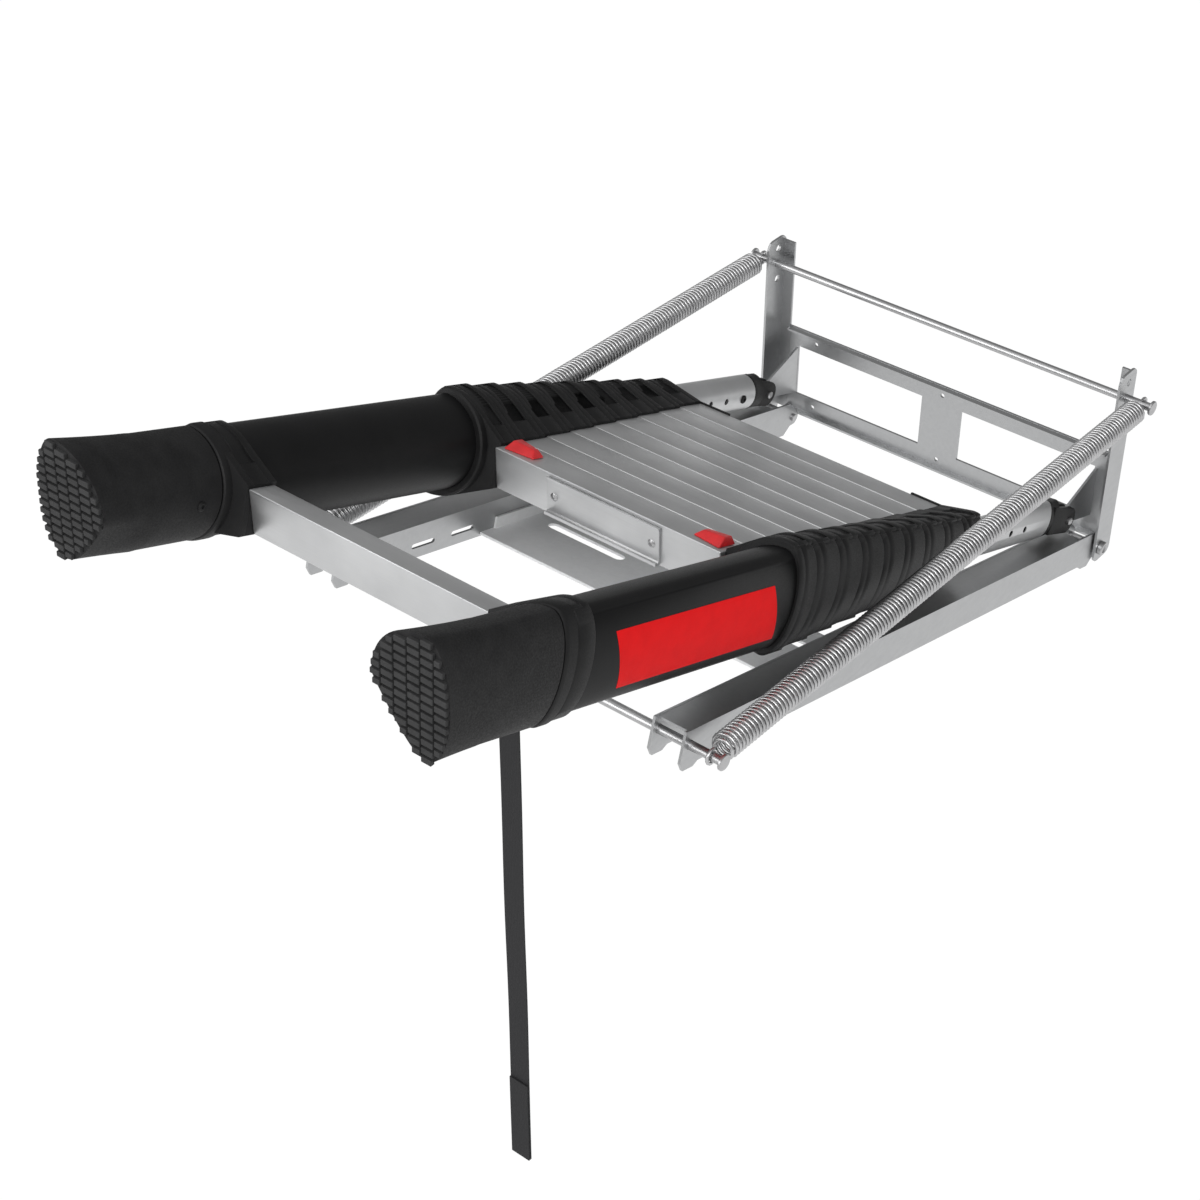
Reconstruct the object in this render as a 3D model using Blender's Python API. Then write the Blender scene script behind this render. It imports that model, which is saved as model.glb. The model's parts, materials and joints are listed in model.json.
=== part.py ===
# Spring-assisted telescoping loft ladder, folded up against its wall frame.
# Metres, +Z up, +Y into the wall, feet towards -Y. Origin on the back of the wall plate.

import math

import bmesh
import bpy
import numpy as np
from mathutils import Matrix, Vector

# Driving dimensions of the wall frame
FRAME_HALF = 0.2115
SHEET = 0.0025
UPRIGHT_TOP = 0.160
UPRIGHT_BOTTOM = -0.064
UPRIGHT_DEPTH = 0.032
WALL_FLANGE = 0.0152
PLATE_HALF_HEIGHT = 0.052
PLATE_LIP = 0.009
WINDOW_HALF_HEIGHT = 0.0305
STRUT_HALF = 0.0243
SCREW_Z = 0.0405
SCREW_X = 0.1614
SCREW_R = 0.0026
TOP_ROD_Y = -0.0144
TOP_ROD_Z = 0.1295
ROD_R = 0.0042
ROD_HALF = 0.2380
HOLE_CLEAR = 0.0003

# Driving dimensions of the swing arms, along the arm and across it from its pivot
ARM_PIVOT = Vector((0.0, -0.021, -0.049))
ARM_TILT = math.radians(16.2)
ARM_OUT = 0.2073
ARM_IN = 0.1739
ARM_FRONT = 0.738
ARM_REAR_R = 0.0100
ARM_TOP = 0.0175
ARM_BOTTOM = -0.016
EAR_DROP = 0.004
EAR_LENGTH = 0.026
PIN_R = 0.004
FRONT_ROD_ALONG = 0.729
FRONT_ROD_UP = 0.0035
CROSS_FRONT = 0.538
CROSS_REAR = 0.425
CROSS_LIP = 0.014

# Driving dimensions of the springs
SPRING_X = 0.2290
SPRING_OUTER_R = 0.0125
SPRING_WIRE_R = 0.0016
SPRING_CURLS = 24
CURL_POINTS = 8
SPRING_END_RUN = 0.030

# Driving dimensions of the ladder, along its stiles from the wall and above their axis
LADDER_TILT = math.radians(21.45)
AXIS_Z = -0.0184
PIVOT_ALONG = 0.069
PIVOT_UP = -0.005
STILE_X = 0.1853
STILE_OUTER = 0.44
SECTIONS = 10
BOTTOM_R = 0.0443
TOP_R = 0.0193
WALL = 0.0018
STACK_START = 0.6342
PITCH = 0.0402
RUNG_PITCH = 0.0396
COLLAR_GAP = 0.0005
COLLAR_GROWTH = 0.0065
RUNG_HALF = 0.1245
RUNG_GROWTH = 0.0024
RUNG_LEAN = math.tan(LADDER_TILT)
RUNG_TOP = 0.016
RUNG_BOTTOM = -0.025
RUNG_WALL = 0.002
RUNG_ONE = (0.902, 0.931)
RUNG_TWO_FRONT = 0.620
STACK_RUNGS = 0.578
UPPER_COLLAR_END = 0.6235
TUBE_SEAT = 0.010
TUBE_LOW = 0.985
INNER_LOW = 0.958
LOWER_COLLAR = (0.905, 0.941)
FOOT_START = 0.9425
FOOT_FLARE = 1.010
FOOT_TIP = 1.085
FOOT_SLOPE = math.radians(18)
FOOT_R = 0.0515
TOP_TUBE_END = 0.116
BUTTON_X = (0.088, 0.119)
BUTTON_ALONG = (0.588, 0.615)
BUTTON_HEIGHT = 0.008
BRACKET_HALF = 0.062
STRAP_X = 0.1354
STRAP_WIDTH = 0.020
STRAP_THICK = 0.0016
STRAP_BOTTOM = -0.271
STRAP_ALONG = 0.9081
STRAP_UP = -0.0255
STRAP_DROP = 0.009
GAP = 0.0003
SIDES = 24

ALUMINIUM = ((0.62, 0.63, 0.64), 0.38, 0.9)
STEEL = ((0.66, 0.66, 0.66), 0.32, 1.0)
BLACK = ((0.018, 0.018, 0.019), 0.42, 0.0)
RUBBER = ((0.030, 0.030, 0.031), 0.75, 0.0)
RED = ((0.62, 0.02, 0.025), 0.35, 0.0)
WEBBING = ((0.022, 0.022, 0.024), 0.85, 0.0)


def clear_scene():
    for obj in list(bpy.data.objects):
        bpy.data.objects.remove(obj, do_unlink=True)


clear_scene()
PARTS = bpy.data.collections.new("telescoping_loft_ladder")
CUTTERS = bpy.data.collections.new("cutters")
for group in (PARTS, CUTTERS):
    bpy.context.scene.collection.children.link(group)


def material(name, finish):
    colour, roughness, metallic = finish
    made = bpy.data.materials.new(name)
    made.use_nodes = True
    shader = made.node_tree.nodes["Principled BSDF"]
    shader.inputs["Base Color"].default_value = (*colour, 1.0)
    shader.inputs["Roughness"].default_value = roughness
    shader.inputs["Metallic"].default_value = metallic
    return made


def add_object(name, mesh, group=PARTS):
    obj = bpy.data.objects.new(name, mesh)
    group.objects.link(obj)
    if group is CUTTERS:
        obj.hide_render = True
        obj.display_type = "WIRE"
    return obj


def pivot(name, place, tilt):
    empty = bpy.data.objects.new(name, None)
    PARTS.objects.link(empty)
    empty.location = place
    empty.rotation_euler = (-tilt, 0.0, 0.0)
    return empty


def rod_mesh(radius, start, end, sides=SIDES):
    """A closed cylinder from start to end."""
    start, end = Vector(start), Vector(end)
    turn = (end - start).to_track_quat("Z", "Y").to_matrix().to_4x4()
    place = Matrix.Translation((start + end) / 2) @ turn
    mesh = bpy.data.meshes.new("rod")
    shape = bmesh.new()
    bmesh.ops.create_cone(shape, cap_ends=True, segments=sides, radius1=radius, radius2=radius,
                          depth=(end - start).length, matrix=place)
    shape.to_mesh(mesh)
    shape.free()
    return mesh


def box_mesh(low, high):
    low, high = Vector(low), Vector(high)
    mesh = bpy.data.meshes.new("box")
    shape = bmesh.new()
    place = Matrix.Translation((low + high) / 2) @ Matrix.Diagonal((*(high - low), 1.0))
    bmesh.ops.create_cube(shape, size=1.0, matrix=place)
    shape.to_mesh(mesh)
    shape.free()
    return mesh


def flat_mesh(outlines, low, high, frame):
    """A flat piece: the first outline is its edge, the others are holes. frame turns XY to its plane."""
    curve = bpy.data.curves.new("outline", "CURVE")
    curve.dimensions = "2D"
    curve.fill_mode = "BOTH"
    curve.extrude = (high - low) / 2
    for points in outlines:
        spline = curve.splines.new("POLY")
        spline.points.add(len(points) - 1)
        for point, (u, v) in zip(spline.points, points):
            point.co = (u, v, 0.0, 1.0)
        spline.use_cyclic_u = True
    drawn = add_object("outline", curve, CUTTERS)
    bpy.context.view_layer.update()
    graph = bpy.context.evaluated_depsgraph_get()
    mesh = bpy.data.meshes.new_from_object(drawn.evaluated_get(graph))
    bpy.data.objects.remove(drawn, do_unlink=True)
    shape = bmesh.new()
    shape.from_mesh(mesh)
    bmesh.ops.remove_doubles(shape, verts=shape.verts, dist=1e-6)
    bmesh.ops.translate(shape, verts=shape.verts, vec=(0.0, 0.0, (low + high) / 2))
    bmesh.ops.transform(shape, verts=shape.verts, matrix=frame)
    bmesh.ops.recalc_face_normals(shape, faces=shape.faces)
    shape.to_mesh(mesh)
    shape.free()
    return mesh


# Planes for flat pieces: outline axes and the direction of the thickness
YZ_ALONG_X = Matrix(((0, 0, 1, 0), (1, 0, 0, 0), (0, 1, 0, 0), (0, 0, 0, 1)))
XZ_ALONG_Y = Matrix(((1, 0, 0, 0), (0, 0, 1, 0), (0, 1, 0, 0), (0, 0, 0, 1)))
XY_ALONG_Z = Matrix.Identity(4)


def ring_points(centre, radius, count=10):
    return [(centre[0] + radius * math.cos(2 * math.pi * i / count),
             centre[1] + radius * math.sin(2 * math.pi * i / count)) for i in range(count)]


def rectangle(u0, v0, u1, v1):
    return [(u0, v0), (u1, v0), (u1, v1), (u0, v1)]


def rounded(u0, v0, u1, v1, radius, steps=3):
    """A rectangle with round corners."""
    points = []
    for u, v, start in ((u1 - radius, v1 - radius, 0.0), (u0 + radius, v1 - radius, 0.5),
                        (u0 + radius, v0 + radius, 1.0), (u1 - radius, v0 + radius, 1.5)):
        for i in range(steps + 1):
            angle = math.pi * (start + 0.5 * i / steps)
            points.append((u + radius * math.cos(angle), v + radius * math.sin(angle)))
    return points


def is_closed(mesh):
    shape = bmesh.new()
    shape.from_mesh(mesh)
    whole = all(len(edge.link_faces) == 2 for edge in shape.edges)
    shape.free()
    return whole


def combine(base, operation, others):
    """Joins or cuts a mesh object by others. MANIFOLD steps in where EXACT leaves an open edge."""
    for mesh in others:
        tool = add_object("tool", mesh, CUTTERS)
        for solver in ("EXACT", "MANIFOLD"):
            change = base.modifiers.new("change", "BOOLEAN")
            change.operation = operation
            change.solver = solver
            change.object = tool
            bpy.context.view_layer.update()
            graph = bpy.context.evaluated_depsgraph_get()
            result = bpy.data.meshes.new_from_object(base.evaluated_get(graph))
            base.modifiers.clear()
            if is_closed(result):
                break
        base.data = result
        bpy.data.objects.remove(tool, do_unlink=True)


def piece(name, mesh, finish, parent=None, joined=(), cut=()):
    obj = add_object(name, mesh)
    combine(obj, "UNION", joined)
    combine(obj, "DIFFERENCE", cut)
    obj.data.name = name
    obj.data.materials.clear()
    obj.data.materials.append(material(name, finish))
    obj.data.shade_smooth()
    obj.data.set_sharp_from_angle(angle=math.radians(32))
    obj.parent = parent
    return obj


def both_sides(mesh):
    """The mirror image of a mesh, for the far side."""
    copy = mesh.copy()
    shape = bmesh.new()
    shape.from_mesh(copy)
    bmesh.ops.scale(shape, verts=shape.verts, vec=(-1.0, 1.0, 1.0))
    bmesh.ops.reverse_faces(shape, faces=shape.faces)
    shape.to_mesh(copy)
    shape.free()
    return copy


def pair(name, mesh, finish, parent=None, joined=(), cut=()):
    """A right-hand piece and its mirrored left-hand twin."""
    right = piece(name + "_right", mesh, finish, parent, joined, cut)
    left = piece(name + "_left", both_sides(right.data), finish, parent)
    return right, left


def wall_frame():
    x = FRAME_HALF
    side = rounded(-UPRIGHT_DEPTH, UPRIGHT_BOTTOM, 0.0, UPRIGHT_TOP, 0.008)
    holes = [ring_points((TOP_ROD_Y, TOP_ROD_Z), ROD_R + HOLE_CLEAR, 12),
             ring_points((ARM_PIVOT.y, ARM_PIVOT.z), PIN_R + HOLE_CLEAR, 12),
             ring_points((TOP_ROD_Y, UPRIGHT_TOP - 0.012), 0.0042),
             ring_points((TOP_ROD_Y, UPRIGHT_TOP - 0.049), 0.0042)]
    flange = flat_mesh([side] + holes, x - SHEET, x, YZ_ALONG_X)
    back = box_mesh((x - WALL_FLANGE, -SHEET, UPRIGHT_BOTTOM + 0.010),
                    (x - 0.001, 0.0, UPRIGHT_TOP - 0.0065))
    pair("upright", flange, STEEL, joined=[back])

    half = FRAME_HALF - WALL_FLANGE - GAP
    top = PLATE_HALF_HEIGHT
    window_end = STILE_X - 0.0015
    outlines = [rectangle(-half, -top, half, top)]
    for sign in (-1, 1):
        ends = sorted((sign * STRUT_HALF, sign * window_end))
        outlines.append(rectangle(ends[0], -WINDOW_HALF_HEIGHT, ends[1], WINDOW_HALF_HEIGHT))
    for level in (-SCREW_Z, SCREW_Z):
        for across in (-SCREW_X, 0.0, SCREW_X):
            outlines.append(ring_points((across, level), SCREW_R, 8))
    sheet = flat_mesh(outlines, -SHEET, 0.0, XZ_ALONG_Y)
    lips = [box_mesh((-half + GAP, -PLATE_LIP, z - SHEET / 2), (half - GAP, -0.001, z + SHEET / 2))
            for z in (top - SHEET / 2 - GAP, -top + SHEET / 2 + GAP)]
    tip = ladder_pivot_point()
    reach = 0.0095
    ear = [(-0.001, -0.030), (-0.001, 0.029)]
    ear += [(tip.y + reach * math.cos(a), tip.z + reach * math.sin(a))
            for a in np.linspace(math.radians(60), math.radians(285), 9)]
    ears = []
    for sign in (-1, 1):
        middle = sign * STILE_X
        hole = ring_points((tip.y, tip.z), PIN_R + HOLE_CLEAR, 12)
        ears.append(flat_mesh([ear, hole], middle - SHEET / 2, middle + SHEET / 2, YZ_ALONG_X))
    piece("wall_plate", sheet, STEEL, joined=lips + ears)

    reach = ROD_HALF
    rod = rod_mesh(ROD_R, (-reach, TOP_ROD_Y, TOP_ROD_Z), (reach, TOP_ROD_Y, TOP_ROD_Z), 12)
    heads = [rod_mesh(0.0075, (sign * (reach - 0.0005), TOP_ROD_Y, TOP_ROD_Z),
                      (sign * (reach + 0.003), TOP_ROD_Y, TOP_ROD_Z), 12) for sign in (-1, 1)]
    piece("top_rod", rod, STEEL, joined=heads)

    y, z = ARM_PIVOT.y, ARM_PIVOT.z
    pin = rod_mesh(PIN_R, (ARM_IN - 0.003, y, z), (FRAME_HALF + 0.0015, y, z), 12)
    head = rod_mesh(0.0075, (FRAME_HALF + GAP, y, z), (FRAME_HALF + 0.005, y, z), 12)
    pair("arm_pivot_pin", pin, STEEL, joined=[head])


def ladder_pivot_point():
    turn = Matrix.Rotation(-LADDER_TILT, 4, "X")
    return Vector((0.0, 0.0, AXIS_Z)) + turn @ Vector((0.0, -PIVOT_ALONG, PIVOT_UP))


def arms(parent):
    """Inverted channels. Local -Y runs out along the arm and +Z is above it."""
    def cheek(x0, x1, slots):
        front = -ARM_FRONT
        low, drop = ARM_BOTTOM, ARM_BOTTOM - EAR_DROP
        edge = [(front, ARM_TOP), (front, drop + 0.008), (front + 0.006, drop),
                (front + EAR_LENGTH - 0.006, drop), (front + EAR_LENGTH, low), (-EAR_LENGTH - 0.008, low),
                (-EAR_LENGTH, drop), (-0.012, drop), (-0.003, drop + 0.010)]
        edge += [(ARM_REAR_R * math.cos(a), ARM_REAR_R * math.sin(a))
                 for a in np.linspace(math.radians(-55), math.radians(70), 6)]
        edge.append((-0.012, ARM_TOP))
        holes = [ring_points((0.0, 0.0), PIN_R + HOLE_CLEAR, 12),
                 ring_points((-FRONT_ROD_ALONG, FRONT_ROD_UP), ROD_R + HOLE_CLEAR, 12)] + slots
        return flat_mesh([edge] + holes, x0, x1, YZ_ALONG_X)

    slots = [rounded(-place - 0.016, -0.006, -place + 0.016, -0.001, 0.0024, 2) for place in (0.62, 0.565)]
    outer = cheek(ARM_OUT - SHEET, ARM_OUT, [])
    inner = cheek(ARM_IN, ARM_IN + SHEET, slots)
    web = box_mesh((ARM_IN + 0.0005, -ARM_FRONT + 0.004, ARM_TOP - SHEET),
                   (ARM_OUT - 0.0005, -UPRIGHT_DEPTH - 0.012, ARM_TOP - 0.0002))
    pair("arm", outer, STEEL, parent, joined=[web, inner])

    half = ARM_IN - GAP
    level = ARM_BOTTOM + 0.002
    plate = [rectangle(-half, -CROSS_FRONT, half, -CROSS_REAR),
             rounded(-0.150, -0.468, -0.060, -0.455, 0.006), rounded(0.060, -0.468, 0.150, -0.455, 0.006)]
    sheet = flat_mesh(plate, level, level + SHEET, XY_ALONG_Z)
    lips = [box_mesh((sign * half - (SHEET if sign > 0 else 0), -CROSS_FRONT + 0.02, level + 0.001),
                     (sign * half + (0 if sign > 0 else SHEET), -CROSS_REAR - 0.02, level + CROSS_LIP))
            for sign in (-1, 1)]
    piece("cross_plate", sheet, STEEL, parent, joined=lips)

    y, z = -FRONT_ROD_ALONG, FRONT_ROD_UP
    rod = rod_mesh(ROD_R, (-ROD_HALF, y, z), (ROD_HALF, y, z), 12)
    heads = [rod_mesh(0.0085, (sign * (ROD_HALF - 0.0005), y, z), (sign * (ROD_HALF + 0.004), y, z), 12)
             for sign in (-1, 1)]
    piece("front_rod", rod, STEEL, parent, joined=heads)


def front_rod_point():
    turn = Matrix.Rotation(-ARM_TILT, 4, "X")
    return ARM_PIVOT + turn @ Vector((0.0, -FRONT_ROD_ALONG, FRONT_ROD_UP))


def tube_object(name, points, radius, finish):
    """A round wire along points, as one closed mesh."""
    curve = bpy.data.curves.new(name, "CURVE")
    curve.dimensions = "3D"
    curve.bevel_depth = radius
    curve.bevel_resolution = 1
    curve.use_fill_caps = True
    spline = curve.splines.new("POLY")
    spline.points.add(len(points) - 1)
    for point, place in zip(spline.points, points):
        point.co = (*place, 1.0)
    drawn = add_object("wire", curve, CUTTERS)
    bpy.context.view_layer.update()
    graph = bpy.context.evaluated_depsgraph_get()
    mesh = bpy.data.meshes.new_from_object(drawn.evaluated_get(graph))
    bpy.data.objects.remove(drawn, do_unlink=True)
    shape = bmesh.new()
    shape.from_mesh(mesh)
    bmesh.ops.remove_doubles(shape, verts=shape.verts, dist=1e-6)
    bmesh.ops.recalc_face_normals(shape, faces=shape.faces)
    shape.to_mesh(mesh)
    shape.free()
    return piece(name, mesh, finish)


def least_gap(points, wire, apart):
    """The smallest clear distance between stretches of a wire that are not neighbours."""
    places = np.array(points)
    gaps = [np.linalg.norm(places[i + apart:] - places[i], axis=1).min() for i in range(len(places) - apart)]
    return min(gaps) - 2 * wire


def springs():
    """Extension springs from the top rod's ends to the front rod's ends."""
    upper = Vector((SPRING_X, TOP_ROD_Y, TOP_ROD_Z))
    lower = front_rod_point() + Vector((SPRING_X, 0.0, 0.0))
    along = (lower - upper).normalized()
    across = Vector((1.0, 0.0, 0.0))
    up = across.cross(along).normalized()
    mean = SPRING_OUTER_R - SPRING_WIRE_R
    clear = ROD_R + SPRING_WIRE_R + 0.0008
    length = (lower - upper).length

    eye = [upper + up * clear * math.sin(a) - along * clear * math.cos(a)
           for a in np.linspace(math.radians(-75), math.radians(75), 6)]
    lead = [upper + along * (SPRING_END_RUN - 0.010) + up * clear]
    coil = []
    body = length - 2 * SPRING_END_RUN - 0.014
    for i in range(SPRING_CURLS * CURL_POINTS + 1):
        angle = 2 * math.pi * i / CURL_POINTS
        grow = min(1.0, 0.45 + i / CURL_POINTS, 0.45 + (SPRING_CURLS * CURL_POINTS - i) / CURL_POINTS)
        place = SPRING_END_RUN + body * i / (SPRING_CURLS * CURL_POINTS)
        coil.append(upper + along * place + up * mean * grow * math.cos(angle)
                    + across * mean * grow * math.sin(angle))
    tail = [upper + along * (length - SPRING_END_RUN - 0.006) + up * 0.004]
    route = eye + lead + coil + tail
    print("spring: least gap between curls",
          round(1000 * least_gap(coil, SPRING_WIRE_R, CURL_POINTS // 2 + 1), 2), "mm")

    hook = [upper + along * (length - SPRING_END_RUN) + up * 0.004]
    hook += [upper + along * (length - 0.012) + up * clear]
    hook += [lower + up * clear * math.sin(a) + along * clear * math.cos(a)
             for a in np.linspace(math.radians(75), math.radians(-75), 6)]
    mirror = Vector((-1.0, 1.0, 1.0))
    for side, flip in (("right", Vector((1.0, 1.0, 1.0))), ("left", mirror)):
        tube_object("spring_" + side, [p * flip for p in route], SPRING_WIRE_R, STEEL)
        tube_object("spring_hook_" + side, [p * flip for p in hook], SPRING_WIRE_R, STEEL)


def tube_radius(section):
    return BOTTOM_R + (TOP_R - BOTTOM_R) * (section - 1) / (SECTIONS - 1)


def at(x, along, up):
    """A point on the ladder in its own frame, which has its origin on the ladder's pivot."""
    return Vector((x, -(along - PIVOT_ALONG), up - PIVOT_UP))


def flatten_outer(mesh):
    """The stiles are round towards the rungs and flatter on their outer side."""
    for corner in mesh.vertices:
        if corner.co.x > STILE_X:
            corner.co.x = STILE_X + (corner.co.x - STILE_X) * STILE_OUTER
    return mesh


def stile_rod(radius, start, end, sides=SIDES):
    return flatten_outer(rod_mesh(radius, at(STILE_X, start, 0.0), at(STILE_X, end, 0.0), sides))


def lean(mesh):
    """Rungs lean along the ladder, so that their front faces stand upright when it is stored."""
    top = RUNG_TOP - PIVOT_UP
    for corner in mesh.vertices:
        corner.co.y -= RUNG_LEAN * (corner.co.z - top)
    return mesh


def rung_half(section):
    return RUNG_HALF + RUNG_GROWTH * (section - 1)


LADDER_CROSS = Matrix(((1, 0, 0, 0), (0, 0, 1, PIVOT_ALONG), (0, 1, 0, -PIVOT_UP), (0, 0, 0, 1)))


def bridge(outer, start, end, half):
    """The sloping web that joins a collar to the end of its rung."""
    rung = half + GAP
    edge = [(STILE_X, outer * 0.93), (STILE_X - outer * 0.35, outer * 0.90), (rung, RUNG_TOP + 0.0025),
            (rung, RUNG_BOTTOM), (STILE_X - outer * 0.35, -outer * 0.86), (STILE_X, -outer * 0.9)]
    return flat_mesh([edge], -end, -start, LADDER_CROSS)


def collar_span(order):
    start = STACK_START - PITCH * order + COLLAR_GAP
    return start, start + PITCH - COLLAR_GAP


def rung(name, start, end, half, parent):
    profile = [(-end, RUNG_BOTTOM), (-start, RUNG_BOTTOM), (-start, RUNG_TOP), (-end, RUNG_TOP)]
    inset = RUNG_WALL
    hollow = [(-end + inset, RUNG_BOTTOM + inset), (-start - inset, RUNG_BOTTOM + inset),
              (-start - inset, RUNG_TOP - inset), (-end + inset, RUNG_TOP - inset)]
    frame = Matrix.Translation(at(0.0, 0.0, 0.0)) @ YZ_ALONG_X
    return piece(name, lean(flat_mesh([profile, hollow], -half, half, frame)), ALUMINIUM, parent)


def bottom_section(parent):
    outer = BOTTOM_R
    half = rung_half(1)
    start = collar_span(1)[0]
    tube = stile_rod(outer, start + TUBE_SEAT, TUBE_LOW, 24)
    bore = stile_rod(outer - WALL, start - 0.1, TUBE_LOW + 0.05, 24)
    pair("bottom_tube", tube, BLACK, parent, cut=[bore])

    ring = stile_rod(outer + 0.0042, LOWER_COLLAR[0], LOWER_COLLAR[1], 24)
    web = bridge(outer, RUNG_ONE[0] - 0.003, RUNG_ONE[1] + 0.003, half)
    clear = stile_rod(outer + GAP, LOWER_COLLAR[0] - 0.05, LOWER_COLLAR[1] + 0.05, 24)
    pair("lower_collar", ring, BLACK, parent, joined=[web], cut=[clear])

    end = UPPER_COLLAR_END
    collar = stile_rod(outer + COLLAR_GROWTH, start, end, 24)
    seat = stile_rod(outer + GAP, start + TUBE_SEAT - GAP, end + 0.1, 24)
    through = stile_rod(outer - WALL, start - 0.05, end + 0.05, 24)
    web = bridge(outer + COLLAR_GROWTH, start + 0.001, end - 0.001, half)
    pair("upper_collar", collar, BLACK, parent, joined=[web], cut=[through, seat])

    rung("rung_1", RUNG_ONE[0], RUNG_ONE[1], half, parent)
    rung("rung_2", STACK_RUNGS + COLLAR_GAP, RUNG_TWO_FRONT, half, parent)

    sleeve = stile_rod(outer + 0.0027, FOOT_START, FOOT_FLARE + 0.001, 24)
    flare = bpy.data.meshes.new("flare")
    shape = bmesh.new()
    far = FOOT_TIP + 0.012
    middle = at(STILE_X, (FOOT_FLARE + far) / 2, 0.0)
    place = Matrix.Translation(middle) @ Matrix.Rotation(math.radians(90), 4, "X")
    bmesh.ops.create_cone(shape, cap_ends=True, segments=24, radius1=outer + 0.0033, radius2=FOOT_R + 0.002,
                          depth=far - FOOT_FLARE, matrix=place)
    shape.to_mesh(flare)
    shape.free()
    flatten_outer(flare)
    socket = stile_rod(outer + GAP, FOOT_START - 0.05, TUBE_LOW + GAP, 24)
    slab = box_mesh((-0.1, -0.1, -0.1), (0.1, 0.0, 0.1))
    slab.transform(Matrix.Translation(at(STILE_X, FOOT_TIP - 0.014, 0.0))
                   @ Matrix.Rotation(FOOT_SLOPE, 4, "X"))
    pair("foot", sleeve, RUBBER, parent, joined=[flare], cut=[socket, slab])

    low, high = BUTTON_ALONG
    wedge = [(-high, RUNG_TOP + GAP), (-low, RUNG_TOP + GAP), (-low, RUNG_TOP + 0.5 * BUTTON_HEIGHT),
             (-low - 0.010, RUNG_TOP + BUTTON_HEIGHT), (-high + 0.004, RUNG_TOP + 0.7 * BUTTON_HEIGHT)]
    frame = Matrix.Translation(at(0.0, 0.0, 0.0)) @ YZ_ALONG_X
    pair("release_button", flat_mesh([wedge], BUTTON_X[0], BUTTON_X[1], frame), RED, parent)
    level = (RUNG_TOP + RUNG_BOTTOM) / 2
    middle = (STACK_RUNGS + RUNG_TWO_FRONT) / 2 - RUNG_LEAN * (RUNG_TOP - level)
    pair("lock_pin", rod_mesh(0.005, at(0.062, middle, level), at(RUNG_HALF - 0.001, middle, level), 12),
         STEEL, parent)

    half = BRACKET_HALF
    front = RUNG_TWO_FRONT + GAP
    step = [(-front - 0.0025, RUNG_TOP - 0.004), (-front, RUNG_TOP - 0.004), (-front, RUNG_BOTTOM + 0.001),
            (-front - 0.008, RUNG_BOTTOM + 0.001), (-front - 0.008, RUNG_BOTTOM + 0.0035),
            (-front - 0.0025, RUNG_BOTTOM + 0.0035)]
    piece("hook_bracket", lean(flat_mesh([step], -half, half, frame)), ALUMINIUM, parent)


def inner_sections(parents):
    for section in range(2, SECTIONS):
        parent = parents[section]
        outer = tube_radius(section)
        start, end = collar_span(section)
        tube = stile_rod(outer, start, INNER_LOW - 0.002 * section, 14)
        collar = stile_rod(outer + COLLAR_GROWTH, start, end, 20)
        half = rung_half(section)
        web = bridge(outer + COLLAR_GROWTH, start + 0.001, end - 0.001, half)
        bore = stile_rod(outer - WALL, start - 0.05, INNER_LOW + 0.05, 14)
        pair(f"stile_{section}", collar, BLACK, parent, joined=[web, tube], cut=[bore])
        back = STACK_RUNGS - RUNG_PITCH * (section - 1)
        rung(f"rung_{section + 1}", back + COLLAR_GAP, back + RUNG_PITCH, half, parent)


def top_section(parent):
    tube = stile_rod(TOP_R, TOP_TUBE_END, INNER_LOW - 0.02, 20)
    bore = stile_rod(TOP_R - 0.0022, TOP_TUBE_END - 0.05, INNER_LOW + 0.05, 20)
    holes = [rod_mesh(0.0032, at(STILE_X - 0.04, place, 0.0), at(STILE_X + 0.04, place, 0.0), 10)
             for place in (0.172, 0.202)]
    pair("top_tube", tube, ALUMINIUM, parent, cut=[bore] + holes)

    plug = stile_rod(TOP_R - 0.0025, TOP_TUBE_END - 0.002, TOP_TUBE_END + 0.022)
    cap = stile_rod(TOP_R, TOP_TUBE_END - 0.020, TOP_TUBE_END - GAP)
    frame = Matrix.Translation(at(0.0, 0.0, 0.0)) @ YZ_ALONG_X
    end = 0.0125
    cheek = [(-TOP_TUBE_END + 0.008, 0.013), (-TOP_TUBE_END + 0.008, -0.015)]
    cheek += [(-PIVOT_ALONG + end * math.cos(a), PIVOT_UP + end * math.sin(a))
              for a in np.linspace(math.radians(-100), math.radians(80), 8)]
    hole = ring_points((-PIVOT_ALONG, PIVOT_UP), PIN_R + HOLE_CLEAR, 12)
    prongs = [flat_mesh([cheek, hole], STILE_X + low, STILE_X + low + 0.006, frame) for low in (-0.0085, 0.0025)]
    pair("fork_end", cap, BLACK, parent, joined=[plug] + prongs)
    pin = rod_mesh(PIN_R, at(STILE_X - 0.0115, PIVOT_ALONG, PIVOT_UP), at(STILE_X + 0.0115, PIVOT_ALONG, PIVOT_UP), 12)
    pair("fork_pin", pin, STEEL, parent)


def strap():
    turn = Matrix.Rotation(-LADDER_TILT, 4, "X")
    under = ladder_pivot_point() + turn @ at(0.0, STRAP_ALONG, STRAP_UP)
    half = STRAP_WIDTH / 2
    top = under.z - STRAP_DROP
    y = under.y
    # The strap leaves the underside of the collar's bridge beside the rung and hangs straight down.
    x = STRAP_X
    sheet = box_mesh((x - half, y - STRAP_THICK / 2, STRAP_BOTTOM), (x + half, y + STRAP_THICK / 2, top))
    piece("pull_strap", sheet, WEBBING)


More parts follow.
